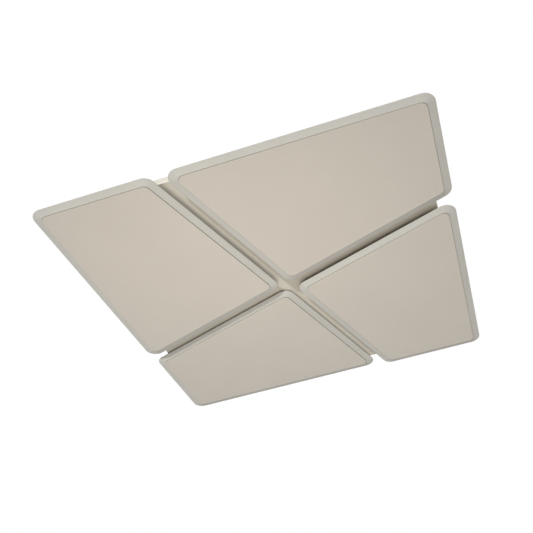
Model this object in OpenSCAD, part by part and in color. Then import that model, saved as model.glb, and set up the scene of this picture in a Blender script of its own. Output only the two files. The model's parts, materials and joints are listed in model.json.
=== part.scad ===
// Square ceiling light: four flat acrylic panels set in a pinwheel on a moulded cover.
// Millimetres. The origin is the centre of the ceiling face, and the light hangs below it.
// X runs to the right and Y away from the viewer, who looks up from the front.

/* [Overall] */
// Side of the square that the four panels fill
lamp_side = 600; // [480:10:800]
// Turn of the two crossing channels from the sides, in degrees
channel_turn = 18.8; // [14:0.2:22]
// Width of the channels between the panels
channel_gap = 16.5; // [10:0.5:24]
// From the ceiling to the floor of the channels
body_depth = 34; // [32:1:60]

/* [Panels] */
// Thickness of the frosted edge plate at the face
plate_t = 3.5; // [3:0.5:6]
// How far the rim falls back from the face to its rounded edge
rim_fall = 0.4; // [0.2:0.1:1.4]
// Corner radius of the edge plate
plate_r = 18; // [12:1:26]
// Width of the frosted rim round the face
rim_w = 12.4; // [8:0.2:20]
// Corner radius of the face
face_r = 10; // [4:1:16]
// Thickness of the opal face
face_t = 2.7; // [2:0.1:3]
// How far the face stands proud of its plate
face_proud = 1.2; // [0.4:0.1:1.6]
// Gap all round the face in its pocket
face_gap = 0.4; // [0.1:0.05:0.6]
// Height of the riser under the front left panel
step_front_left = 9; // [2.5:0.5:20]
// Height of the riser under the front right panel
step_front_right = 10.5; // [2.5:0.5:20]
// Height of the riser under the rear right panel
step_rear_right = 8.5; // [2.5:0.5:20]
// Height of the riser under the rear left panel
step_rear_left = 2.5; // [2.5:0.5:20]
// Height of the frame behind a panel, which centres it in its window
locator_h = 5; // [3:0.5:8]
// Width of that frame's ring
locator_t = 2.5; // [1.5:0.5:4]
// Clearance between that frame and the window
locator_clear = 0.5; // [0.3:0.1:1]

/* [Cover] */
// How far the panels reach past the cover
overhang = 26; // [20:1:36]
// Thickness of the cover's floor and walls, and of the risers' walls
cover_wall = 2; // [1.5:0.5:4]
// Corner radius of the cover
cover_r = 16; // [14:1:20]
// How far the sloping sides lean in on their way up
side_run = 12; // [0:1:20]
// Gap between the cover's edge and the ceiling
shadow_gap = 5; // [2:0.5:8]
// Width of a riser from its outside to its window
ledge_w = 12; // [11:0.5:18]
// Thickness of the ledge that a panel lies on
ledge_t = 2; // [1:0.5:2.5]

/* [Catches] */
// Radius of the catch magnets and their keeper discs
magnet_r = 4; // [2.5:0.5:4]
// Thickness of a magnet
magnet_t = 2; // [1:0.5:2]
// Thickness of a keeper disc
keeper_t = 1; // [0.5:0.1:1.2]

/* [Chassis] */
// Sheet thickness of the chassis
sheet_t = 1.2; // [0.8:0.1:2]
// From the ceiling to the back of the chassis floor
pan_depth = 10; // [8:0.5:14]
// Width of the chassis flange that is folded inwards along the ceiling
flange_w = 7; // [4:0.5:12]
// Height of the stiffening beads pressed into the chassis
bead_h = 1.5; // [0.8:0.1:2]
// Clearance between the chassis and the cover's wall
pan_clear = 1.2; // [0.8:0.1:3]
// Radius of the posts that carry the cover
post_r = 4; // [3.5:0.5:6]
// Distance of the posts from the centre, along the channels
post_reach = 225; // [180:5:240]
// Radius of the hole through the cable grommet
cable_r = 5; // [3:0.5:7]

/* [Bracket] */
// Length of the ceiling bracket
bracket_l = 220; // [180:5:260]
// Width of the ceiling bracket
bracket_w = 32; // [26:1:40]
// Thickness of the ceiling bracket
bracket_t = 1.5; // [1:0.1:3]
// Distance between the two ceiling slots
slot_spacing = 160; // [130:5:180]
// Length of a ceiling slot from end to end
slot_l = 24; // [12:1:32]
// Width of a ceiling slot
slot_w = 5.2; // [4:0.2:7]
// Distance between the two threaded studs
stud_spacing = 90; // [70:5:110]
// Radius of a stud
stud_r = 2; // [1.5:0.5:3]

/* [Light source] */
// Thickness of a lamp board
board_t = 1.6; // [1:0.1:2.4]
// Clearance between a lamp board and the wall of the chassis
board_clear = 6; // [3:1:12]
// Spacing of the lenses on a board
lens_pitch = 34; // [28:1:60]
// Radius of a lens
lens_r = 7; // [5:0.5:9]
// Height of a lens
lens_h = 5.5; // [3:0.5:8]

/* [Driver] */
// Length of the driver case
driver_l = 150; // [110:5:160]
// Width of the driver case
driver_w = 42; // [30:1:48]
// Height of the driver case
driver_h = 19; // [14:1:20]
// Distance of the driver's middle from the centre
driver_reach = 135; // [120:1:140]

/* [Hidden] */

half = lamp_side / 2;
steps = [step_front_left, step_front_right, step_rear_right, step_rear_left];
// Smallest corner radius of an inner outline
inner_r = 3;
// Straight pieces in one rounded corner
corner_pieces = 12;
// Pieces in the half round along a plate's edge
edge_pieces = 8;
// Overlap that makes a cut run clear of a face
cut = 1;
round_fn = 48;
small_fn = 32;

// Levels, measured up from the ceiling, so all are negative
pan_z = -pan_depth - sheet_t;
floor_z = -body_depth;
board_z = pan_z - board_t;

// Insets from a panel's outline
cavity_in = overhang + cover_wall;
window_in = overhang + ledge_w;
locator_in = window_in + locator_clear;
magnet_in = (cavity_in + window_in) / 2;

// Cover: an upright band, then sides that lean in on their way up to the rim
cover_side = lamp_side - 2 * overhang;
cover_top = -shadow_gap;
band_z = floor_z + 2 * cover_wall;
// Thickness of a leaning side, measured level
side_wall = cover_wall * norm([side_run, cover_top - band_z]) / (cover_top - band_z);

// Chassis, inside the rim of the cover
pan_in = overhang + side_run + side_wall + pan_clear;
pan_side = lamp_side - 2 * pan_in;
pan_r = cover_r - cover_wall - pan_clear;
board_in = pan_in + sheet_t + board_clear;

// Posts stand beside the channel's middle, clear of the driver case along it
post_clear = 1;
post_side = driver_w / 2 + post_r + post_clear;

// Screws
screw_clear = 0.1;
screw_tail = 2;
small_screw_r = 1.5;
small_head_r = 3;
small_head_h = 1.8;
cover_screw_r = 2;
cover_head_r = 3.7;
cover_head_h = 0.8 * cover_wall;
cover_screw_l = 12;

// Corners of the front left panel, inset by d: lamp corner, front edge, centre, left edge
function panel_corners(d) =
  let (c = cos(channel_turn), s = sin(channel_turn), e = channel_gap / 2 + d, edge = -half + d)
  [[edge, edge], [(edge * s - e) / c, edge], [-e * (c + s), e * (s - c)], [edge, (-e - edge * s) / c]];

function unit(v) = v / norm(v);

// One rounded corner at p between its neighbours a and b
function corner_arc(a, p, b, r) =
  let (
    u = unit(a - p), v = unit(b - p), mid = unit(u + v),
    half_angle = acos(u * v) / 2,
    centre = p + mid * r / sin(half_angle),
    away = atan2(-mid[1], -mid[0]),
    sweep = 90 - half_angle
  )
  [for (i = [0:corner_pieces]) centre + r * [cos(away + sweep * (2 * i / corner_pieces - 1)),
                                             sin(away + sweep * (2 * i / corner_pieces - 1))]];

// Outline through points that run anticlockwise, with one radius for each corner
function rounded(points, radii) =
  let (n = len(points))
  [for (i = [0:n - 1])
    each corner_arc(points[(i + n - 1) % n], points[i], points[(i + 1) % n], radii[i])];

// Four equal corners, or a first corner at the lamp's own corner and three others
function all_corners(r) = [r, r, r, r];
function first_corner(first, others) = [first, others, others, others];
function square_corners(w, l) = [[-w, -l] / 2, [w, -l] / 2, [w, l] / 2, [-w, l] / 2];

// True where a point lies inside the front left panel's outline, inset by d
function inside_panel(p, d) =
  let (c = cos(channel_turn), s = sin(channel_turn), e = channel_gap / 2 + d)
  p[0] >= -half + d && p[1] >= -half + d && p[0] * c - p[1] * s <= -e && p[0] * s + p[1] * c <= -e;

// Screws of a lamp board sit just inside its corners
screw_margin = 7;
lens_clear = 1;
board_screw_places = panel_corners(board_in + screw_margin);
lens_to_screw = lens_r + small_head_r + lens_clear;
function clear_of_screws(p) = min([for (q = board_screw_places) norm(p - q)]) > lens_to_screw;

// Centres of the lenses, in rows along the channels that start near the lamp's centre
lens_edge = 3;
lens_margin = board_in + lens_r + lens_edge;
lens_rows = ceil(lamp_side / lens_pitch);
lens_start = panel_corners(lens_margin + screw_clear)[2];
function lens_place(i, j) =
  let (c = cos(channel_turn), s = sin(channel_turn))
  lens_start - lens_pitch * [i * c + j * s, j * c - i * s];
lens_places = [
  for (i = [0:lens_rows], j = [0:lens_rows])
    let (p = lens_place(i, j))
    if (inside_panel(p, lens_margin) && clear_of_screws(p)) p
];

// Stacks outlines with equal point counts into one closed solid
module loft(rings) {
  n = len(rings[0]);
  m = len(rings);
  points = [for (ring = rings) each ring];
  sides = [for (k = [0:m - 2], i = [0:n - 1], half_face = [0, 1])
    let (a = k * n + i, b = k * n + (i + 1) % n, c = b + n, d = a + n)
    half_face == 0 ? [a, c, b] : [a, d, c]];
  polyhedron(
    points = points,
    faces = concat(sides, [[for (i = [0:n - 1]) i]], [[for (i = [n - 1:-1:0]) (m - 1) * n + i]]),
    convexity = 4
  );
}

// Prism of a panel's shape, inset by d, from z0 up to z1
module panel_prism(d, radii, z0, z1) {
  translate([0, 0, z0])
    linear_extrude(height = z1 - z0)
      polygon(rounded(panel_corners(d), radii));
}

module box_prism(w, l, r, z0, z1) {
  translate([0, 0, z0])
    linear_extrude(height = z1 - z0)
      polygon(rounded(square_corners(w, l), all_corners(r)));
}

// Turns the front left panel's shape to panel k and lowers it to the foot of its riser
module on_riser(k) {
  rotate([0, 0, 90 * k])
    translate([0, 0, floor_z - steps[k]])
      children();
}

module along_channel(reach, side, turn) {
  rotate([0, 0, turn - channel_turn])
    translate([reach, side, 0])
      children();
}

// Ceiling bracket, flat on the ceiling

bracket_r = 6;
bracket_hole_r = cable_r + 6;

module ceiling_bracket() {
  color("silver")
    difference() {
      box_prism(bracket_l, bracket_w, bracket_r, -bracket_t, 0);
      for (side = [-1, 1]) {
        translate([side * slot_spacing / 2, 0, 0])
          slot_cut();
        translate([side * stud_spacing / 2, 0, -bracket_t - cut])
          cylinder(r = stud_r, h = bracket_t + 2 * cut, $fn = round_fn);
      }
      translate([0, 0, -bracket_t - cut])
        cylinder(r = bracket_hole_r, h = bracket_t + 2 * cut, $fn = round_fn);
    }
}

module slot_cut() {
  run = slot_l - slot_w;
  for (side = [-1, 1])
    translate([side * run / 2, 0, -bracket_t - cut])
      cylinder(r = slot_w / 2, h = bracket_t + 2 * cut, $fn = round_fn);
  translate([-run / 2, -slot_w / 2, -bracket_t - cut])
    cube([run, slot_w, bracket_t + 2 * cut]);
}

nut_h = 5;
nut_r = 5.5;
nut_flange_r = 7;
nut_flange_h = 1.2;
thread_clear = 0.05;
stud_tail = 3;
stud_end = pan_z - nut_h - stud_tail;

module bracket_studs() {
  color("gainsboro")
    for (side = [-1, 1])
      translate([side * stud_spacing / 2, 0, stud_end])
        cylinder(r = stud_r, h = -stud_end, $fn = round_fn);
}

// Nuts with a round flange and a knob that fingers can turn
module stud_nuts() {
  color("silver")
    for (side = [-1, 1])
      translate([side * stud_spacing / 2, 0, pan_z])
        difference() {
          union() {
            translate([0, 0, -nut_flange_h])
              cylinder(r = nut_flange_r, h = nut_flange_h, $fn = round_fn);
            translate([0, 0, -nut_h])
              cylinder(r = nut_r, h = nut_h, $fn = round_fn);
          }
          translate([0, 0, -nut_h - cut])
            cylinder(r = stud_r + thread_clear, h = nut_h + 2 * cut, $fn = round_fn);
        }
}

// Chassis: a pressed pan with its flange flat on the ceiling and a bead along each side. Wide
// holes under the bracket's slots let a screwdriver through to the ceiling screws.

stud_clear = 0.4;
driver_hole_r = 4;
grommet_r = cable_r + 4;
grommet_groove = 1.5;
grommet_lip = 2;

bead_w = 12;
bead_l = pan_side / 2;
// From a side of the chassis to the middle of its bead
bead_in = 70;
bead_reach = pan_side / 2 - bead_in;
pan_inner = pan_side - 2 * sheet_t;
flange_inner = pan_inner - 2 * flange_w;

// Runs along each side of the chassis, narrowed by d all round
module beads(d, z0, z1) {
  for (k = [0:3])
    rotate([0, 0, 90 * k])
      translate([0, bead_reach, 0])
        box_prism(bead_l - 2 * d, bead_w - 2 * d, bead_w / 2 - d - screw_clear, z0, z1);
}

module chassis() {
  color("whitesmoke")
    difference() {
      union() {
        difference() {
          box_prism(pan_side, pan_side, pan_r, pan_z, 0);
          box_prism(pan_inner, pan_inner, pan_r - sheet_t, -pan_depth, -sheet_t);
          box_prism(flange_inner, flange_inner, inner_r, -sheet_t - cut, cut);
        }
        beads(0, -pan_depth - sheet_t / 2, -pan_depth + bead_h);
      }
      beads(sheet_t, pan_z - cut, pan_z + bead_h);
      pan_hole(0, 0, grommet_r - grommet_groove);
      for (side = [-1, 1]) {
        pan_hole(side * stud_spacing / 2, 0, stud_r + stud_clear);
        pan_hole(side * slot_spacing / 2, 0, driver_hole_r);
      }
      for (k = [0:3])
        rotate([0, 0, 90 * k])
          for (p = board_screw_places)
            pan_hole(p[0], p[1], small_screw_r + screw_clear);
      along_channel(driver_reach, 0, 0)
        for (end = [-1, 1])
          pan_hole(end * driver_foot_reach, 0, small_screw_r + screw_clear);
      along_channel(-terminal_reach, 0, 0)
        pan_hole(0, 0, small_screw_r + screw_clear);
      along_channel(earth_reach, 0, 90)
        pan_hole(0, 0, small_screw_r + screw_clear);
    }
}

module pan_hole(x, y, r) {
  translate([x, y, pan_z - cut])
    cylinder(r = r, h = sheet_t + 2 * cut, $fn = small_fn);
}

module cover_posts() {
  color("silver")
    for (k = [0:3])
      along_channel(post_reach, -post_side, 90 * k)
        translate([0, 0, floor_z + cover_wall])
          difference() {
            cylinder(r = post_r, h = pan_z - floor_z - cover_wall, $fn = round_fn);
            translate([0, 0, -cut])
              cylinder(r = cover_screw_r + screw_clear, h = cover_screw_l + cut, $fn = small_fn);
          }
}

// Rubber ring in the cable hole, with a groove that grips the sheet
module cable_grommet() {
  groove_r = grommet_r - grommet_groove;
  groove_top = grommet_lip + sheet_t;
  grommet_h = groove_top + grommet_lip;
  color("dimgray")
    translate([0, 0, pan_z - grommet_lip])
      rotate_extrude($fn = round_fn)
        polygon([
          [cable_r, 0], [grommet_r, 0], [grommet_r, grommet_lip], [groove_r, grommet_lip],
          [groove_r, groove_top], [grommet_r, groove_top], [grommet_r, grommet_h], [cable_r, grommet_h]
        ]);
}

terminal_reach = 78;
terminal_l = 34;
terminal_w = 20;
terminal_h = 14;
wire_r = 1.9;
wire_depth = 5;
pole_pitch = 10;
clamp_row = 5;
clamp_r = 2;
clamp_h = 4;
clamp_sunk = 1;
clamp_clear = 0.1;
head_clear = 0.3;

// Two pole block: wires enter from both long sides, and screws clamp them from below
module terminal_block() {
  color("ivory")
    along_channel(-terminal_reach, 0, 0)
      translate([0, 0, pan_z - terminal_h])
        difference() {
          translate([-terminal_l / 2, -terminal_w / 2, 0])
            cube([terminal_l, terminal_w, terminal_h]);
          for (pole = [-1, 1]) {
            translate([pole * pole_pitch, -terminal_w / 2 - cut, terminal_h - wire_depth])
              rotate([-90, 0, 0])
                cylinder(r = wire_r, h = terminal_w + 2 * cut, $fn = small_fn);
            for (row = [-1, 1])
              translate([pole * pole_pitch, row * clamp_row, -cut])
                cylinder(r = clamp_r + clamp_clear, h = clamp_sunk + clamp_h + cut, $fn = small_fn);
          }
          translate([0, 0, -cut])
            cylinder(r = small_screw_r + screw_clear, h = terminal_h + 2 * cut, $fn = small_fn);
          translate([0, 0, -cut])
            cylinder(r = small_head_r + head_clear, h = clamp_sunk + small_head_h + cut, $fn = small_fn);
        }
}

module terminal_screws() {
  color("gold")
    along_channel(-terminal_reach, 0, 0)
      translate([0, 0, pan_z - terminal_h + clamp_sunk]) {
        for (pole = [-1, 1], row = [-1, 1])
          translate([pole * pole_pitch, row * clamp_row, 0])
            cylinder(r = clamp_r, h = clamp_h, $fn = small_fn);
        cylinder(r = small_head_r, h = small_head_h, $fn = small_fn);
        cylinder(r = small_screw_r, h = terminal_h - clamp_sunk + sheet_t + screw_tail, $fn = small_fn);
      }
}

earth_reach = 62;

module pan_screw(lift) {
  translate([0, 0, pan_z - lift - small_head_h]) {
    cylinder(r = small_head_r, h = small_head_h, $fn = small_fn);
    cylinder(r = small_screw_r, h = small_head_h + lift + sheet_t + screw_tail, $fn = small_fn);
  }
}

module earth_screw() {
  color("goldenrod")
    along_channel(earth_reach, 0, 90)
      pan_screw(0);
}

driver_r = 3;
driver_foot_t = 2;
driver_foot_l = 12;
driver_foot_w = 16;
driver_foot_r = 4;
driver_foot_reach = driver_l / 2 + driver_foot_l / 2;

module driver_case() {
  color("white")
    along_channel(driver_reach, 0, 0)
      difference() {
        union() {
          box_prism(driver_l, driver_w, driver_r, pan_z - driver_h, pan_z);
          box_prism(
            driver_l + 2 * driver_foot_l, driver_foot_w, driver_foot_r, pan_z - driver_foot_t, pan_z
          );
        }
        for (end = [-1, 1])
          translate([end * driver_foot_reach, 0, pan_z - driver_foot_t - cut])
            cylinder(r = small_screw_r + screw_clear, h = driver_foot_t + 2 * cut, $fn = small_fn);
      }
}

module driver_screws() {
  color("silver")
    along_channel(driver_reach, 0, 0)
      for (end = [-1, 1])
        translate([end * driver_foot_reach, 0, 0])
          pan_screw(driver_foot_t);
}

module led_board(k) {
  color("white")
    rotate([0, 0, 90 * k])
      difference() {
        panel_prism(board_in, all_corners(inner_r), board_z, pan_z);
        for (p = board_screw_places)
          translate([p[0], p[1], board_z - cut])
            cylinder(r = small_screw_r + screw_clear, h = board_t + 2 * cut, $fn = small_fn);
      }
}

module board_screws() {
  color("silver")
    for (k = [0:3])
      rotate([0, 0, 90 * k])
        for (p = board_screw_places)
          translate([p[0], p[1], 0])
            pan_screw(board_t);
}

// A lens is a low dome on a short round foot
module lens() {
  foot = 1.2;
  rise = lens_h - foot;
  dome_r = (lens_r * lens_r + rise * rise) / (2 * rise);
  translate([0, 0, -foot])
    cylinder(r = lens_r, h = foot, $fn = round_fn);
  translate([0, 0, -foot])
    intersection() {
      translate([0, 0, dome_r - rise])
        sphere(r = dome_r, $fn = round_fn);
      translate([0, 0, -rise - cut])
        cylinder(r = lens_r, h = rise + cut, $fn = round_fn);
    }
}

module led_lenses(k) {
  color("aliceblue")
    rotate([0, 0, 90 * k])
      for (p = lens_places)
        translate([p[0], p[1], board_z])
          lens();
}

// Cover: a shallow moulded tray with an opening over each riser

function tray_ring(z, inset, r) =
  let (w = cover_side - 2 * inset)
  [for (p = rounded(square_corners(w, w), all_corners(r))) [p[0], p[1], z]];

inner_corner = cover_r - cover_wall;
cavity_radii = first_corner(inner_corner, inner_r);

module cover_tray() {
  color("white")
    difference() {
      loft([
        tray_ring(floor_z, 0, cover_r),
        tray_ring(band_z, 0, cover_r),
        tray_ring(cover_top, side_run, cover_r)
      ]);
      loft([
        tray_ring(floor_z + cover_wall, side_wall, inner_corner),
        tray_ring(band_z, side_wall, inner_corner),
        tray_ring(cover_top, side_run + side_wall, inner_corner),
        tray_ring(cover_top + cut, side_run + side_wall, inner_corner)
      ]);
      for (k = [0:3])
        rotate([0, 0, 90 * k])
          panel_prism(cavity_in, cavity_radii, floor_z - cut, floor_z + cover_wall + cut);
      for (k = [0:3])
        along_channel(post_reach, -post_side, 90 * k)
          translate([0, 0, floor_z])
            countersink();
    }
}

// Riser: a frame bonded under the tray, with a ledge round its window for the panel
module riser(k) {
  color("white")
    on_riser(k)
      difference() {
        panel_prism(overhang, first_corner(cover_r, inner_r), 0, steps[k]);
        panel_prism(cavity_in, cavity_radii, ledge_t, steps[k] + cut);
        panel_prism(window_in, all_corners(inner_r), -cut, ledge_t + cut);
      }
}

module countersink() {
  translate([0, 0, -cut])
    cylinder(r = cover_screw_r + screw_clear, h = cover_wall + 2 * cut, $fn = small_fn);
  cylinder(
    r1 = cover_head_r + screw_clear, r2 = cover_screw_r + screw_clear, h = cover_head_h, $fn = small_fn
  );
}

module cover_screws() {
  color("silver")
    for (k = [0:3])
      along_channel(post_reach, -post_side, 90 * k)
        translate([0, 0, floor_z]) {
          cylinder(r1 = cover_head_r, r2 = cover_screw_r, h = cover_head_h, $fn = small_fn);
          cylinder(r = cover_screw_r, h = cover_screw_l, $fn = small_fn);
        }
}

// Magnets lie on the back of the ledge, in the middle of each side of the window
catch_corners = panel_corners(magnet_in);
catch_places = [for (i = [0:3]) (catch_corners[i] + catch_corners[(i + 1) % 4]) / 2];

module magnets(k) {
  color("silver")
    on_riser(k)
      for (p = catch_places)
        translate([p[0], p[1], ledge_t])
          cylinder(r = magnet_r, h = magnet_t, $fn = small_fn);
}

module keepers(k) {
  color("gray")
    on_riser(k)
      for (p = catch_places)
        translate([p[0], p[1], -keeper_t])
          cylinder(r = magnet_r, h = keeper_t, $fn = small_fn);
}

// Frame bonded to the back of a panel: it drops into the window and keeps stray light in
module locator(k) {
  color("white")
    on_riser(k)
      difference() {
        panel_prism(locator_in, all_corners(inner_r), 0, locator_h);
        panel_prism(locator_in + locator_t, all_corners(inner_r), -cut, locator_h + cut);
      }
}

// Edge plate: frosted acrylic whose rim falls back to a full round edge, with a pocket in
// front for the face and pockets behind for the keepers

pocket_depth = face_t - face_proud;
edge_r = (plate_t - rim_fall) / 2;

// Insets and levels of the plate's section, from the front of the rim round to the back
plate_section = concat(
  [[rim_w, -plate_t]],
  [for (i = [0:edge_pieces])
    let (a = -90 + 180 * i / edge_pieces)
    [edge_r * (1 - cos(a)), edge_r * (sin(a) - 1)]]
);

module edge_plate(k) {
  rings = [for (q = plate_section)
    [for (p = rounded(panel_corners(q[0]), all_corners(plate_r - q[0]))) [p[0], p[1], q[1]]]];
  color("gainsboro")
    on_riser(k)
      difference() {
        loft(rings);
        panel_prism(
          rim_w - face_gap, all_corners(face_r + face_gap), -plate_t - cut, -plate_t + pocket_depth
        );
        for (p = catch_places)
          translate([p[0], p[1], -keeper_t])
            cylinder(r = magnet_r, h = keeper_t + cut, $fn = small_fn);
      }
}

module face(k) {
  color("antiquewhite")
    on_riser(k)
      panel_prism(rim_w, all_corners(face_r), -plate_t - face_proud, -plate_t + pocket_depth);
}

ceiling_bracket();
bracket_studs();
stud_nuts();
chassis();
cover_posts();
cable_grommet();
terminal_block();
terminal_screws();
earth_screw();
driver_case();
driver_screws();
board_screws();
led_board(0);  // led_board_front_left
led_board(1);  // led_board_front_right
led_board(2);  // led_board_rear_right
led_board(3);  // led_board_rear_left
led_lenses(0);  // led_lenses_front_left
led_lenses(1);  // led_lenses_front_right
led_lenses(2);  // led_lenses_rear_right
led_lenses(3);  // led_lenses_rear_left
cover_tray();
cover_screws();
riser(0);  // riser_front_left
riser(1);  // riser_front_right
riser(2);  // riser_rear_right
riser(3);  // riser_rear_left
magnets(0);  // magnets_front_left
magnets(1);  // magnets_front_right
magnets(2);  // magnets_rear_right
magnets(3);  // magnets_rear_left
keepers(0);  // keepers_front_left
keepers(1);  // keepers_front_right
keepers(2);  // keepers_rear_right
keepers(3);  // keepers_rear_left
locator(0);  // locator_front_left
locator(1);  // locator_front_right
locator(2);  // locator_rear_right
locator(3);  // locator_rear_left
edge_plate(0);  // edge_plate_front_left
edge_plate(1);  // edge_plate_front_right
edge_plate(2);  // edge_plate_rear_right
edge_plate(3);  // edge_plate_rear_left
face(0);  // face_front_left
face(1);  // face_front_right
face(2);  // face_rear_right
face(3);  // face_rear_left
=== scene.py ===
"""Looks of a square ceiling light with four flat frosted panels set in a pinwheel.

Metres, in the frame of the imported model: +Z up into the ceiling, -Y towards the viewer.
"""
import json
import math

import bmesh
import bpy
from mathutils import Matrix, Vector


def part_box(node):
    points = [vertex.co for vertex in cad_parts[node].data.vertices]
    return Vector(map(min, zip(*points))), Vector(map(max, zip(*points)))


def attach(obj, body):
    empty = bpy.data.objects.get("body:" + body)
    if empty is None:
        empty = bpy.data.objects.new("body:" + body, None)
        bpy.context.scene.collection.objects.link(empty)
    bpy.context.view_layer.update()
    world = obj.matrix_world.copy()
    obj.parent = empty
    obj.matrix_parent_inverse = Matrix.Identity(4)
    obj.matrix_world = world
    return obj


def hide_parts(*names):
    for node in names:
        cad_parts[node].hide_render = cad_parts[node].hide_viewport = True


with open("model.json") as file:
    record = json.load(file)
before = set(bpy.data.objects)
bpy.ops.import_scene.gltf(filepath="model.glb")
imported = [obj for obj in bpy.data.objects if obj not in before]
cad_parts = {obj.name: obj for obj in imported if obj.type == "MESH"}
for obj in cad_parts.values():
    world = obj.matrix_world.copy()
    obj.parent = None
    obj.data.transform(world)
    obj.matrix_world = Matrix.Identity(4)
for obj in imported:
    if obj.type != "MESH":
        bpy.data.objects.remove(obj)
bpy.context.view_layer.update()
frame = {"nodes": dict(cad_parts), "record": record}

MM = 0.001
QUARTER_TURN = math.radians(90)
MIDDLE = Vector((0, 0, 0))
PANELS = ("front_left", "front_right", "rear_right", "rear_left")

# Camera below the near side of the light, looking up at its face
CAMERA_PLACE = Vector((0.2156, -0.8265, -0.7896))
CAMERA_TARGET = Vector((0.0564, -0.0304, -0.0440))
CAMERA_TOP = Vector((0.2619, -0.6313, 0.7300))
CAMERA_SENSOR = 36.0
CAMERA_LENS = 44.74
CAMERA_SHIFT = -0.0910

# The key lamp stands on the near side, a little below the panels, and skims them
KEY_TURN = math.radians(6)
KEY_RISE = math.radians(12.3)
KEY_SPREAD = math.radians(2.5)
KEY_STRENGTH = 3.6
KEY_COLOUR = (0.96, 0.98, 1.0)

# The fill is a soft warm lamp below the panels, a little to the near side
FILL_PLACE = Vector((-0.05, -0.17, -0.52))
FILL_TARGET = Vector((-0.05, -0.05, 0.0))
FILL_SIDE = 0.30
FILL_POWER = 0.85

# The top lamp is broad, above and behind, and lights the ceiling side and the floor
TOP_WAY = Vector((0.25, 0.50, 1.0))
TOP_SPREAD = math.radians(50)
TOP_STRENGTH = 2.0

# How far off the two suns stand. Only their direction counts.
SUN_AWAY = 3

# Light of the sky, and the warm colour that it shares with the fill
SKY = 0.26
WARM = (1.0, 0.95, 0.87)

# Floor, faded out towards its rim so that it leaves no edge and lets the key lamp past
FLOOR_Z = -1.6
FLOOR_SIDE = 4.0
FLOOR_FADE = (0.9, 1.9)


def paint(red, green, blue):
    """A colour written as it looks, 0 to 255 a channel, made linear."""
    def linear(level):
        share = level / 255
        return share / 12.92 if share <= 0.04045 else ((share + 0.055) / 1.055) ** 2.4
    return (linear(red), linear(green), linear(blue), 1.0)


class Value:
    """A socket's output among the nodes. Arithmetic on it adds Math nodes."""

    def __init__(self, nodes, socket):
        self.nodes = nodes
        self.socket = socket

    def math(self, operation, *values):
        return self.nodes.node(
            "ShaderNodeMath", {"operation": operation}, dict(enumerate(values)))

    def __add__(self, other):
        return self.math("ADD", self, other)

    __radd__ = __add__

    def __sub__(self, other):
        return self.math("SUBTRACT", self, other)

    def __rsub__(self, other):
        return self.math("SUBTRACT", other, self)

    def __mul__(self, other):
        return self.math("MULTIPLY", self, other)

    __rmul__ = __mul__

    def __or__(self, other):
        """The larger of the two."""
        return self.math("MAXIMUM", self, other)

    __ror__ = __or__

    def __abs__(self):
        return self.math("ABSOLUTE", self)


class Nodes:
    """The nodes of a finish or of the studio. Every one comes from node()."""

    def __init__(self, tree):
        self.tree = tree
        self.tree.nodes.clear()

    def node(self, kind, settings=None, inputs=None, output=0):
        """Adds a node with its settings and the values or links of its sockets."""
        made = self.tree.nodes.new(kind)
        for name, value in (settings or {}).items():
            setattr(made, name, value)
        for key, value in (inputs or {}).items():
            if isinstance(value, Value):
                self.tree.links.new(value.socket, made.inputs[key])
            else:
                made.inputs[key].default_value = value
        return Value(self, made.outputs[output]) if made.outputs else None


class Finish(Nodes):
    """One finish of the light. Its place is where a point lies on its piece, in metres."""

    def __init__(self, name):
        self.material = bpy.data.materials.new(name)
        self.material.use_nodes = True
        super().__init__(self.material.node_tree)
        self.place = self.node("ShaderNodeTexCoord", output="Object")

    def scaled(self, scale):
        """The place, multiplied along each axis."""
        return self.node(
            "ShaderNodeVectorMath", {"operation": "MULTIPLY"}, {0: self.place, 1: scale})

    def reach(self):
        """Distance from the light's middle, level with it."""
        level = self.scaled((1.0, 1.0, 0.0))
        return self.node("ShaderNodeVectorMath", {"operation": "LENGTH"}, {0: level}, "Value")

    def painted_edge_shade_mask(self):
        """1 where a sheet lies level, falling to 0 on its cut edges, where the painted shade
        goes.
        """
        facing = self.node("ShaderNodeNewGeometry", output="Normal")
        level = self.node("ShaderNodeSeparateXYZ", inputs={0: facing}, output="Z")
        return self.ramp(abs(level), 0.70, 0.96)

    def noise(self, size, detail=2.0, squeeze=None):
        """Soft noise, its patches about size metres across and squeezed along each axis."""
        place = self.scaled(squeeze) if squeeze else self.place
        return self.node(
            "ShaderNodeTexNoise", inputs={"Vector": place, "Scale": 1 / size, "Detail": detail})

    def cells(self, size, output="Distance"):
        """Scattered points about size metres apart, as distances or as a colour for each."""
        return self.node(
            "ShaderNodeTexVoronoi", inputs={"Vector": self.place, "Scale": 1 / size},
            output=output)

    def ramp(self, value, low=0.3, high=0.7):
        """0 up to low and 1 from high on. Noise mostly lies between 0.3 and 0.7."""
        return self.node(
            "ShaderNodeMapRange", inputs={"Value": value, "From Min": low, "From Max": high})

    def blend(self, mask, first, second):
        """The first colour where mask is 0, the second where it is 1."""
        return self.node(
            "ShaderNodeMix", {"data_type": "RGBA"}, {0: mask, 6: first, 7: second}, output=2)

    def bump(self, height, depth, strength=1.0):
        """A surface raised by height times depth metres."""
        return self.node(
            "ShaderNodeBump", inputs={"Height": height, "Distance": depth, "Strength": strength})

    def surface(self, **sockets):
        """Closes the finish with its shader. A socket's name has its spaces as underscores."""
        named = {name.replace("_", " "): value for name, value in sockets.items()}
        shader = self.node("ShaderNodeBsdfPrincipled", inputs=named)
        self.node("ShaderNodeOutputMaterial", inputs={"Surface": shader})
        return self.material


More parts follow.
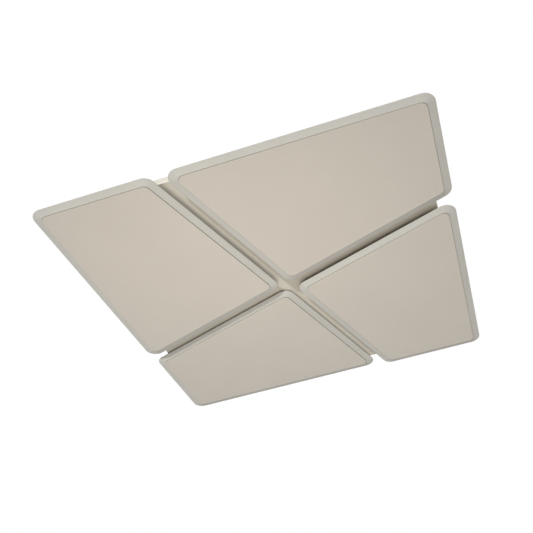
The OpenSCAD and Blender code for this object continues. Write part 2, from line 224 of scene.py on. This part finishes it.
def moulded(
        name, light, dark, roughness, grain=0.25 * MM, depth=0.010 * MM, edge=None, **constants):
    """Moulded plastic or sheet: a slow drift of tone, faint scuffs and a fine even grain.

    The cut edges of a sheet may be painted darker: painted shade on its steep sides, set by
    which way the surface faces.
    """
    finish = Finish(name)
    drift = finish.noise(90 * MM, 3.0)
    fine = finish.noise(grain, 1.0)
    scuff = finish.noise(14 * MM, 4.0, squeeze=(1.0, 6.0, 1.0))
    tone = finish.blend(finish.ramp(drift, 0.35, 0.65), dark, light)
    # Painted shade: steep cut edges take the darker edge colour, chosen by which way the surface
    # faces
    if edge:
        tone = finish.blend(finish.painted_edge_shade_mask(), edge, tone)
    return finish.surface(
        Base_Color=tone,
        Roughness=roughness - 0.05 + 0.11 * finish.ramp(scuff),
        Normal=finish.bump(fine, depth),
        **constants)


def plated(name, light, dark, roughness):
    """Plated or drawn metal: fine streaks along one way and a cloudy tarnish."""
    finish = Finish(name)
    cloud = finish.noise(6 * MM, 4.0)
    streaks = finish.noise(1.6 * MM, 3.0, squeeze=(1.0, 14.0, 1.0))
    return finish.surface(
        Base_Color=finish.blend(finish.ramp(cloud), dark, light),
        Metallic=1.0,
        Roughness=roughness - 0.07 + 0.15 * finish.ramp(streaks),
        Normal=finish.bump(streaks, 0.012 * MM))


def opal_face():
    """Opal sheet, satin and warm grey when unlit, with painted shade darkening its steep cut
    edges.
    """
    return moulded(
        "opal_face", paint(204, 197, 187), paint(202, 195, 185), 0.44,
        # The edge colour is painted shade on the face's proud side walls, not a colour of the
        # opal
        grain=0.35 * MM, depth=0.004 * MM, edge=paint(146, 141, 130),
        Subsurface_Weight=0.08, Subsurface_Radius=(0.004, 0.003, 0.002))


def frosted_edge():
    """Frosted acrylic: cooler than the face, with a fine blasted grain, and painted shade
    darkening its cut edges.
    """
    return moulded(
        "frosted_edge", paint(195, 193, 186), paint(191, 189, 182), 0.40,
        # The edge colour is painted shade on the plate's steep side walls, not a colour of the
        # acrylic
        grain=0.30 * MM, depth=0.006 * MM, edge=paint(140, 137, 129),
        Subsurface_Weight=0.15, Subsurface_Radius=(0.006, 0.006, 0.006))


def cover_white():
    """Warm white moulding of the cover and its risers."""
    return moulded(
        "cover_white", paint(206, 200, 187), paint(201, 195, 181), 0.46, grain=0.5 * MM)


def locator_white():
    """White moulding of the frames behind the panels."""
    return moulded("locator_white", paint(228, 226, 220), paint(220, 218, 211), 0.45)


def terminal_ivory():
    """Ivory moulding of the terminal block."""
    return moulded("terminal_ivory", paint(226, 220, 203), paint(218, 211, 192), 0.42)


def driver_white():
    """White case of the driver, with its coarser moulded texture."""
    return moulded(
        "driver_white", paint(231, 231, 228), paint(224, 224, 220), 0.5,
        grain=0.6 * MM, depth=0.04 * MM)


def powder_coat():
    """White powder coat on steel sheet, with its shallow orange peel."""
    finish = Finish("powder_coat")
    peel = finish.cells(1.1 * MM)
    drift = finish.ramp(finish.noise(70 * MM, 3.0), 0.35, 0.65)
    return finish.surface(
        Base_Color=finish.blend(drift, paint(214, 214, 210), paint(222, 222, 219)),
        Roughness=0.34 + 0.10 * finish.ramp(peel, 0.0, 1.0),
        Normal=finish.bump(peel, 0.030 * MM, 0.6))


def zinc_sheet():
    """Zinc plated steel sheet with its cloudy spangle."""
    finish = Finish("zinc_sheet")
    spangle = finish.node("ShaderNodeRGBToBW", inputs={"Color": finish.cells(5 * MM, "Color")})
    cloud = finish.ramp(finish.noise(2.5 * MM, 4.0))
    streaks = finish.noise(0.7 * MM, 2.0, squeeze=(0.08, 1.0, 1.0))
    return finish.surface(
        Base_Color=finish.blend(cloud, paint(146, 148, 151), paint(168, 170, 173)),
        Metallic=1.0,
        Roughness=0.54 + 0.14 * finish.ramp(spangle, 0.2, 0.8),
        Normal=finish.bump(streaks, 0.010 * MM))


def grommet_rubber():
    """Matt black rubber with a dusty bloom."""
    finish = Finish("grommet_rubber")
    bloom = finish.noise(3 * MM, 5.0)
    fine = finish.noise(0.3 * MM)
    dust = finish.ramp(bloom, 0.45, 0.75)
    return finish.surface(
        Base_Color=finish.blend(dust, paint(38, 38, 38), paint(66, 65, 63)),
        Roughness=0.62 + 0.20 * finish.ramp(bloom),
        Normal=finish.bump(fine, 0.02 * MM))


def lamp_board():
    """White solder mask on aluminium, faintly uneven in tone."""
    finish = Finish("lamp_board")
    weave = finish.noise(0.4 * MM)
    drift = finish.ramp(finish.noise(60 * MM), 0.4, 0.6)
    return finish.surface(
        Base_Color=finish.blend(drift, paint(226, 227, 224), paint(232, 233, 231)),
        Roughness=0.42 + 0.10 * finish.ramp(weave),
        Normal=finish.bump(weave, 0.006 * MM))


def clear_lens():
    """Clear moulded acrylic, milky with its flow haze and what it scatters."""
    finish = Finish("clear_lens")
    haze = finish.noise(2 * MM, 3.0)
    return finish.surface(
        Base_Color=finish.blend(haze, paint(238, 243, 246), paint(248, 250, 251)),
        Roughness=0.02 + 0.05 * finish.ramp(haze),
        Normal=finish.bump(haze, 0.01 * MM),
        Transmission_Weight=0.45,
        IOR=1.49)


def lamp_phosphor():
    """Yellow phosphor of an unlit emitter."""
    finish = Finish("lamp_phosphor")
    speck = finish.noise(0.3 * MM)
    return finish.surface(
        Base_Color=finish.blend(speck, paint(226, 196, 92), paint(240, 214, 120)),
        Roughness=0.4 + 0.2 * finish.ramp(speck),
        Normal=finish.bump(speck, 0.01 * MM))


# The finish of each material slot, and the phosphor, which has no slot of its own
FINISHES = {
    "bracket_steel": zinc_sheet(),
    "fastener_steel": plated("zinc_fastener", paint(200, 201, 202), paint(168, 169, 170), 0.32),
    "chassis_paint": powder_coat(),
    "grommet_rubber": grommet_rubber(),
    "terminal_plastic": terminal_ivory(),
    "terminal_brass": plated("terminal_brass", paint(214, 180, 104), paint(184, 146, 78), 0.28),
    "driver_plastic": driver_white(),
    "board_white": lamp_board(),
    "lens_clear": clear_lens(),
    "cover_white": cover_white(),
    "magnet_nickel": plated("magnet_nickel", paint(206, 204, 200), paint(188, 186, 181), 0.18),
    "keeper_steel": plated("keeper_steel", paint(176, 176, 177), paint(140, 140, 142), 0.36),
    "locator_white": locator_white(),
    "edge_acrylic": frosted_edge(),
    "face_opal": opal_face(),
}
PHOSPHOR = lamp_phosphor()


def dress_nodes():
    """Gives every CAD node the finish of its material slot."""
    for part in frame["record"]["subparts"]:
        mesh = frame["nodes"][part["node"]].data
        mesh.materials.clear()
        mesh.materials.append(FINISHES[part["material_slot"]])


# Width of the small round on the edges of the nodes that catch the light
SOFT_EDGES = {
    **{"face_" + panel: 0.5 * MM for panel in PANELS},
    "cover_tray": 0.4 * MM,
    "driver_case": 0.8 * MM,
    "terminal_block": 0.4 * MM,
    "chassis": 0.3 * MM,
    "ceiling_bracket": 0.25 * MM,
    "cable_grommet": 0.5 * MM,
}
SOFT_ANGLE = math.radians(30)

# Points of a CAD mesh that lie nearer than this are one point
SAME_POINT = 0.001 * MM


def soften_nodes():
    """Breaks the sharp edges of CAD nodes with a small round, by modifiers alone."""
    for node, width in SOFT_EDGES.items():
        shown = frame["nodes"][node]
        weld = shown.modifiers.new("weld", "WELD")
        weld.merge_threshold = 2 * SAME_POINT
        round_off = shown.modifiers.new("round", "BEVEL")
        round_off.width = width
        round_off.segments = 2
        round_off.limit_method = "ANGLE"
        round_off.angle_limit = SOFT_ANGLE
        round_off.use_clamp_overlap = True
        smooth = shown.modifiers.new("normals", "WEIGHTED_NORMAL")
        smooth.keep_sharp = True


def welded(node):
    """A copy of a CAD node's mesh, its doubled points joined."""
    shape = bmesh.new()
    shape.from_mesh(frame["nodes"][node].data)
    bmesh.ops.remove_doubles(shape, verts=shape.verts, dist=SAME_POINT)
    return shape


class Solid:
    """Where one solid of a CAD node lies: its middle, half its width, and its levels."""

    def __init__(self, points):
        low, high = (
            Vector([pick(point.co[axis] for point in points) for axis in range(3)])
            for pick in (min, max))
        self.middle = (low + high) / 2
        self.radius = (high[0] - low[0]) / 2
        self.low = low[2]
        self.high = high[2]


def solids(node):
    """The separate solids of a CAD node."""
    shape = welded(node)
    shape.verts.index_update()
    seen = set()
    found = []
    for start in shape.verts:
        if start.index in seen:
            continue
        seen.add(start.index)
        joined = [start]
        for point in joined:
            for edge in point.link_edges:
                other = edge.other_vert(point)
                if other.index not in seen:
                    seen.add(other.index)
                    joined.append(other)
        found.append(Solid(joined))
    shape.free()
    return found


def show(name, data):
    """Puts a mesh, lamp or camera into the scene."""
    shown = bpy.data.objects.new(name, data)
    bpy.context.scene.collection.objects.link(shown)
    return shown


class Piece:
    """A new piece of the light, made of stacks of rings or from a node's own mesh."""

    def __init__(self, name, node=None):
        self.name = name
        self.shape = welded(node) if node else bmesh.new()

    def stack(self, rings, looped=False):
        """Skins rings from one end to the other, closed at its ends or onto itself."""
        rows = [[self.shape.verts.new(point) for point in ring] for ring in rings]
        pairs = list(zip(rows, rows[1:]))
        if looped:
            pairs.append((rows[-1], rows[0]))
        else:
            self.shape.faces.new(tuple(reversed(rows[0])))
            self.shape.faces.new(tuple(rows[-1]))
        for low, high in pairs:
            for i, point in enumerate(low):
                after = (i + 1) % len(low)
                self.shape.faces.new((point, low[after], high[after], high[i]))

    def place(self, slot, body, stands_for=(), finish=None, sharp=32):
        """Puts the piece on its body, in place of the nodes that it stands for.

        Edges that turn by sharp degrees or more are shaded sharp.
        """
        bmesh.ops.recalc_face_normals(self.shape, faces=self.shape.faces)
        for face in self.shape.faces:
            face.smooth = True
        for edge in self.shape.edges:
            edge.smooth = edge.calc_face_angle(0.0) < math.radians(sharp)
        mesh = bpy.data.meshes.new(self.name)
        self.shape.to_mesh(mesh)
        self.shape.free()
        mesh.materials.append(finish or FINISHES[slot])
        shown = show(self.name, mesh)
        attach(shown, body)
        if stands_for:
            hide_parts(*stands_for)


# A cross recess: half width and length of its arms as shares of the head's radius, and the width
# of its floor as a share of its mouth's
CROSS_ARM = 0.14
CROSS_REACH = 0.56
CROSS_FLOOR = 0.62

# Where a screw's rings have their points in each quarter: at an arm's end and its two corners,
# and at three turns between it and the next
CROSS_CORNER = math.atan2(CROSS_ARM, CROSS_REACH)
BETWEEN_ARMS = [math.radians(turn) for turn in (29, 45, 61)]
SCREW_TURNS = [
    QUARTER_TURN * quarter + turn
    for quarter in range(4) for turn in (-CROSS_CORNER, 0.0, CROSS_CORNER, *BETWEEN_ARMS)]

# A domed head from its crown up: radius and height, as shares of the whole head's
DOME = ((0.62, 0.03), (0.80, 0.16), (0.93, 0.40), (1.0, 0.72), (1.0, 1.0))

# A screw's head: its height, and how deep the recess goes as a share of that. Then the radius of
# the shaft, the pitch of the thread and the plain neck under the head.
PAN_HEAD = 1.8 * MM
PAN_RECESS = 0.55
PAN_SHAFT = 1.5 * MM
PAN_PITCH = 0.5 * MM
PAN_NECK = 0.3 * MM
SUNK_HEAD = 1.6 * MM
SUNK_RECESS = 0.8
SUNK_SHAFT = 2.0 * MM
SUNK_PITCH = 0.7 * MM
SUNK_NECK = 0.2 * MM

# Depth of a thread as a share of its pitch, and rings for each pitch
THREAD_DEPTH = 0.55
THREAD_ROWS = 5

# Screws of the terminal block that are longer than this hold the block
CLAMP_LONGEST = 6 * MM

# Pitch of a stud's thread, and points round the stud
STUD_PITCH = 0.7 * MM
STUD_SIDES = 28

# Height of a nut's flange, radius of its knob and of its bore
NUT_FLANGE = 1.2 * MM
NUT_KNOB = 5.5 * MM
NUT_BORE = 2.05 * MM

# Knurls round a knob, how deep they are cut, and the ring points for each
KNURLS = 36
KNURL_DEPTH = 0.35 * MM
POINTS_A_KNURL = 4

# Keeps a division or a comparison of lengths from failing on rounding
TINY = 1e-9


def even_turns(count):
    """The turns of a ring whose points are evenly spaced."""
    return [math.tau * i / count for i in range(count)]


def zigzag(share):
    """Falls from 1 to 0 and rises to 1 again, once for each whole step of share."""
    return abs(2 * (share % 1.0) - 1)


def round_ring(middle, level, radius, turns=SCREW_TURNS):
    """Points of a level ring. The radius is a number, or worked out for each turn."""
    ring = []
    for turn in turns:
        away = radius(turn) if callable(radius) else radius
        ring.append(Vector((
            middle[0] + away * math.cos(turn), middle[1] + away * math.sin(turn), level)))
    return ring


def thread_rings(middle, low, high, outer, pitch, turns=SCREW_TURNS):
    """A threaded shaft from low to high, chamfered at its upper end."""
    depth = THREAD_DEPTH * pitch
    rows = max(2, round((high - low) / (pitch / THREAD_ROWS)))

    def ring(level):
        crest = outer - max(0.0, level - (high - depth))
        return round_ring(
            middle, level,
            lambda turn: crest - depth * zigzag(level / pitch - turn / math.tau), turns)

    return [ring(low + (high - low) * row / rows) for row in range(rows + 1)]


def cross_reach(turn):
    """How far a cross recess reaches at a turn, as a share of the head's radius."""
    along, across = sorted((abs(math.cos(turn)), abs(math.sin(turn))), reverse=True)
    if across * CROSS_REACH <= CROSS_ARM * along + TINY:
        return CROSS_REACH / along
    return CROSS_ARM / across


def cross_recess(solid, floor, mouth):
    """A cross recess from its narrower floor out to its mouth."""
    return [
        round_ring(
            solid.middle, floor, lambda turn: CROSS_FLOOR * solid.radius * cross_reach(turn)),
        round_ring(solid.middle, mouth, lambda turn: solid.radius * cross_reach(turn))]


def pan_screw(piece, solid):
    """A domed screw with a cross recess, its head down and its thread up."""
    crown = solid.low
    seat = crown + PAN_HEAD
    piece.stack([
        *cross_recess(solid, crown + PAN_RECESS * PAN_HEAD, crown),
        *(round_ring(solid.middle, crown + height * PAN_HEAD, radius * solid.radius)
          for radius, height in DOME),
        round_ring(solid.middle, seat, PAN_SHAFT),
        *thread_rings(solid.middle, seat + PAN_NECK, solid.high, PAN_SHAFT, PAN_PITCH)])


def sunk_screw(piece, solid):
    """A countersunk screw with a cross recess, flush with the cover."""
    face = solid.low
    foot = face + SUNK_HEAD
    dish = 0.05 * MM
    rim = 0.90 * solid.radius
    rim_height = 0.12 * MM
    piece.stack([
        *cross_recess(solid, face + SUNK_RECESS * SUNK_HEAD, face + dish),
        round_ring(solid.middle, face, rim),
        round_ring(solid.middle, face + rim_height, solid.radius),
        round_ring(solid.middle, foot, SUNK_SHAFT),
        *thread_rings(solid.middle, foot + SUNK_NECK, solid.high, SUNK_SHAFT, SUNK_PITCH)])


def clamp_screw(piece, solid):
    """A headless brass screw that clamps a wire, with a straight slot."""
    half_slot = 0.35 * MM
    slot_end = 0.86 * solid.radius
    slot_depth = 1.0 * MM
    rim = 0.92 * solid.radius
    chamfer = 0.2 * MM

    def slot_reach(turn):
        return min(slot_end, half_slot / max(abs(math.sin(turn)), TINY))

    piece.stack([
        round_ring(solid.middle, solid.low + slot_depth, slot_reach),
        round_ring(solid.middle, solid.low, slot_reach),
        round_ring(solid.middle, solid.low, rim),
        round_ring(solid.middle, solid.low + chamfer, solid.radius),
        round_ring(solid.middle, solid.high, solid.radius)])


def make_pan_screws(node, slot):
    """Domed screws in place of a node's plain ones."""
    piece = Piece(node + "_cross_head")
    for solid in solids(node):
        pan_screw(piece, solid)
    piece.place(slot, "ceiling_unit", [node])


def make_terminal_screws():
    """The four slotted clamp screws and the longer one that holds the block."""
    piece = Piece("terminal_screws_slotted")
    for solid in solids("terminal_screws"):
        long = solid.high - solid.low > CLAMP_LONGEST
        (pan_screw if long else clamp_screw)(piece, solid)
    piece.place("terminal_brass", "ceiling_unit", ["terminal_screws"])


def make_cover_screws():
    """The four countersunk screws that hold the cover to its posts."""
    piece = Piece("cover_screws_countersunk")
    for solid in solids("cover_screws"):
        sunk_screw(piece, solid)
    piece.place("fastener_steel", "cover", ["cover_screws"])


def make_studs():
    """Studs threaded below the bracket's sheet, riveted flush into it."""
    piece = Piece("bracket_studs_threaded")
    turns = even_turns(STUD_SIDES)
    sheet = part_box("ceiling_bracket")[0][2]
    for solid in solids("bracket_studs"):
        thread = thread_rings(
            solid.middle, 0.0, sheet - solid.low, solid.radius, STUD_PITCH, turns)
        piece.stack([
            round_ring(solid.middle, solid.high, solid.radius, turns),
            round_ring(solid.middle, sheet, solid.radius, turns),
            *([Vector((x, y, sheet - depth)) for x, y, depth in ring] for ring in thread)])
    piece.place("fastener_steel", "ceiling_unit", ["bracket_studs"])


def make_nuts():
    """Knurled nuts on a round flange, bored for their stud."""
    piece = Piece("stud_nuts_knurled")
    turns = even_turns(KNURLS * POINTS_A_KNURL)
    chamfer = 0.2 * MM
    bore_chamfer = 0.3 * MM
    knob_taper = 0.7 * MM
    taper_height = 0.5 * MM

    def knurled(turn):
        return NUT_KNOB - KNURL_DEPTH * zigzag(turn * KNURLS / math.tau)

    for solid in solids("stud_nuts"):
        top = solid.high
        foot = solid.low
        step = top - NUT_FLANGE
        piece.stack([round_ring(solid.middle, level, radius, turns) for level, radius in (
            (top, NUT_BORE),
            (top, solid.radius - chamfer),
            (top - chamfer, solid.radius),
            (step + chamfer, solid.radius),
            (step, solid.radius - chamfer),
            (step, knurled),
            (foot + taper_height, knurled),
            (foot, NUT_KNOB - knob_taper),
            (foot, NUT_BORE + bore_chamfer),
            (foot + bore_chamfer, NUT_BORE))], looped=True)
    piece.place("fastener_steel", "ceiling_unit", ["stud_nuts"], sharp=25)


# An emitter and the round of phosphor in its face, as rings: how far each lies below the board,
# and its half width or radius
EMITTER = ((0.02 * MM, 1.5 * MM), (0.65 * MM, 1.5 * MM), (0.70 * MM, 1.42 * MM))
EMITTER_CORNER = 0.2 * MM
GLOW = ((0.69 * MM, 1.15 * MM), (0.74 * MM, 1.10 * MM))
CORNER_STEPS = 3


def rounded_square(middle, level, half, corner):
    """Points of a level square ring with rounded corners."""
    ring = []
    for quarter, (side_x, side_y) in enumerate(((1, 1), (-1, 1), (-1, -1), (1, -1))):
        for step in range(CORNER_STEPS + 1):
            turn = QUARTER_TURN * (quarter + step / CORNER_STEPS)
            ring.append(Vector((
                middle[0] + side_x * (half - corner) + corner * math.cos(turn),
                middle[1] + side_y * (half - corner) + corner * math.sin(turn),
                level)))
    return ring


def make_emitters(panel):
    """Small square emitters on a lamp board, each inside the foot of its lens."""
    base = Piece("emitters_" + panel)
    glow = Piece("emitter_phosphor_" + panel)
    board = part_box("led_board_" + panel)[0][2]
    for lens in solids("led_lenses_" + panel):
        base.stack([
            rounded_square(lens.middle, board - depth, half, EMITTER_CORNER)
            for depth, half in EMITTER])
        glow.stack([round_ring(lens.middle, board - depth, radius) for depth, radius in GLOW])
    base.place("board_white", "ceiling_unit")
    glow.place("board_white", "ceiling_unit", finish=PHOSPHOR)


# The round edge of a packed plate: its height, the steps in which it was made, and how far a
# ring may lie off its worked out depth
ROUND_EDGE = 3.1 * MM
ROUND_STEPS = 8
RING_SLACK = 0.03 * MM

# How much is ground off the plate's rim here
RIM_GROUND = 1.5 * MM


def make_plate(panel):
    """The frosted plate of a panel, its rim ground down to a slope that the eye can see.

    Every ring of the round edge keeps its share of the edge's new height, so the slope from the
    face's recess runs out to it without a step.
    """
    node = "edge_plate_" + panel
    piece = Piece("ground_plate_" + panel, node)
    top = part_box(node)[1][2]
    rings = [
        ROUND_EDGE / 2 * (1 + math.cos(math.pi * step / ROUND_STEPS))
        for step in range(ROUND_STEPS)]
    for point in piece.shape.verts:
        depth = top - point.co.z
        if any(abs(depth - ring) < RING_SLACK for ring in rings):
            point.co.z = top - depth * (1 - RIM_GROUND / ROUND_EDGE)
    piece.place("edge_acrylic", "panel_" + panel, [node], sharp=5)


def set_camera():
    """Stands the camera where the photograph was taken from."""
    back = (CAMERA_PLACE - CAMERA_TARGET).normalized()
    right = CAMERA_TOP.cross(back).normalized()
    top = back.cross(right)
    lens = bpy.data.cameras.new("camera")
    lens.sensor_width = CAMERA_SENSOR
    lens.lens = CAMERA_LENS
    lens.shift_x = CAMERA_SHIFT
    lens.clip_start = 0.01
    lens.clip_end = 100
    camera = show("camera", lens)
    axes = Matrix((right, top, back)).transposed()
    camera.matrix_world = Matrix.Translation(CAMERA_PLACE) @ axes.to_4x4()
    bpy.context.scene.camera = camera


def add_lamp(name, kind, strength, place, target, **settings):
    """Adds a lamp that shines from its place towards its target."""
    light = bpy.data.lights.new(name, kind)
    light.energy = strength
    for setting, value in settings.items():
        setattr(light, setting, value)
    lamp = show(name, light)
    lamp.location = place
    lamp.rotation_euler = (target - place).to_track_quat("-Z", "Y").to_euler()
    return lamp


def set_lamps():
    """The key from the near side, the broad top lamp and the soft warm fill below."""
    key_way = Vector((
        -math.sin(KEY_TURN) * math.cos(KEY_RISE),
        -math.cos(KEY_TURN) * math.cos(KEY_RISE),
        -math.sin(KEY_RISE)))
    add_lamp(
        "key", "SUN", KEY_STRENGTH, SUN_AWAY * key_way, MIDDLE,
        angle=KEY_SPREAD, color=KEY_COLOUR)
    add_lamp(
        "top", "SUN", TOP_STRENGTH, SUN_AWAY * TOP_WAY.normalized(), MIDDLE, angle=TOP_SPREAD)
    fill = add_lamp(
        "fill", "AREA", FILL_POWER, FILL_PLACE, FILL_TARGET, size=FILL_SIDE, color=WARM)
    fill.visible_camera = False
    fill.visible_glossy = False


def set_world():
    """A soft warm sky that the camera, reflections and clear pieces see as white."""
    world = bpy.data.worlds.new("studio")
    world.use_nodes = True
    sky = Nodes(world.node_tree)
    seen = sky.node("ShaderNodeLightPath", output="Is Camera Ray")
    for ray in ("Is Glossy Ray", "Is Transmission Ray"):
        seen = seen | sky.node("ShaderNodeLightPath", output=ray)
    soft = sky.node("ShaderNodeBackground", inputs={"Color": (*WARM, 1.0), "Strength": SKY})
    white = sky.node("ShaderNodeBackground", inputs={"Color": (1, 1, 1, 1), "Strength": 1.0})
    both = sky.node("ShaderNodeMixShader", inputs={0: seen, 1: soft, 2: white})
    sky.node("ShaderNodeOutputWorld", inputs={"Surface": both})
    bpy.context.scene.world = world


def floor_pale():
    """Matt pale floor, clear beyond its fade."""
    finish = Finish("floor_pale")
    speck = finish.noise(40 * MM, 3.0)
    return finish.surface(
        Base_Color=finish.blend(speck, paint(232, 232, 231), paint(236, 236, 235)),
        Roughness=0.8,
        Alpha=1 - finish.ramp(finish.reach(), *FLOOR_FADE))


def set_floor():
    """A plain pale floor well below the light, faded out towards its rim."""
    shape = bmesh.new()
    bmesh.ops.create_grid(shape, x_segments=1, y_segments=1, size=FLOOR_SIDE / 2)
    bmesh.ops.translate(shape, verts=shape.verts, vec=(0, 0, FLOOR_Z))
    mesh = bpy.data.meshes.new("floor")
    shape.to_mesh(mesh)
    shape.free()
    mesh.materials.append(floor_pale())
    floor = show("floor", mesh)


dress_nodes()
soften_nodes()
make_pan_screws("board_screws", "fastener_steel")
make_pan_screws("driver_screws", "fastener_steel")
make_pan_screws("earth_screw", "terminal_brass")
make_terminal_screws()
make_cover_screws()
make_studs()
make_nuts()
for panel in PANELS:
    make_emitters(panel)
    make_plate(panel)
set_camera()
set_lamps()
set_world()
set_floor()

bpy.context.scene.view_settings.view_transform = "Standard"
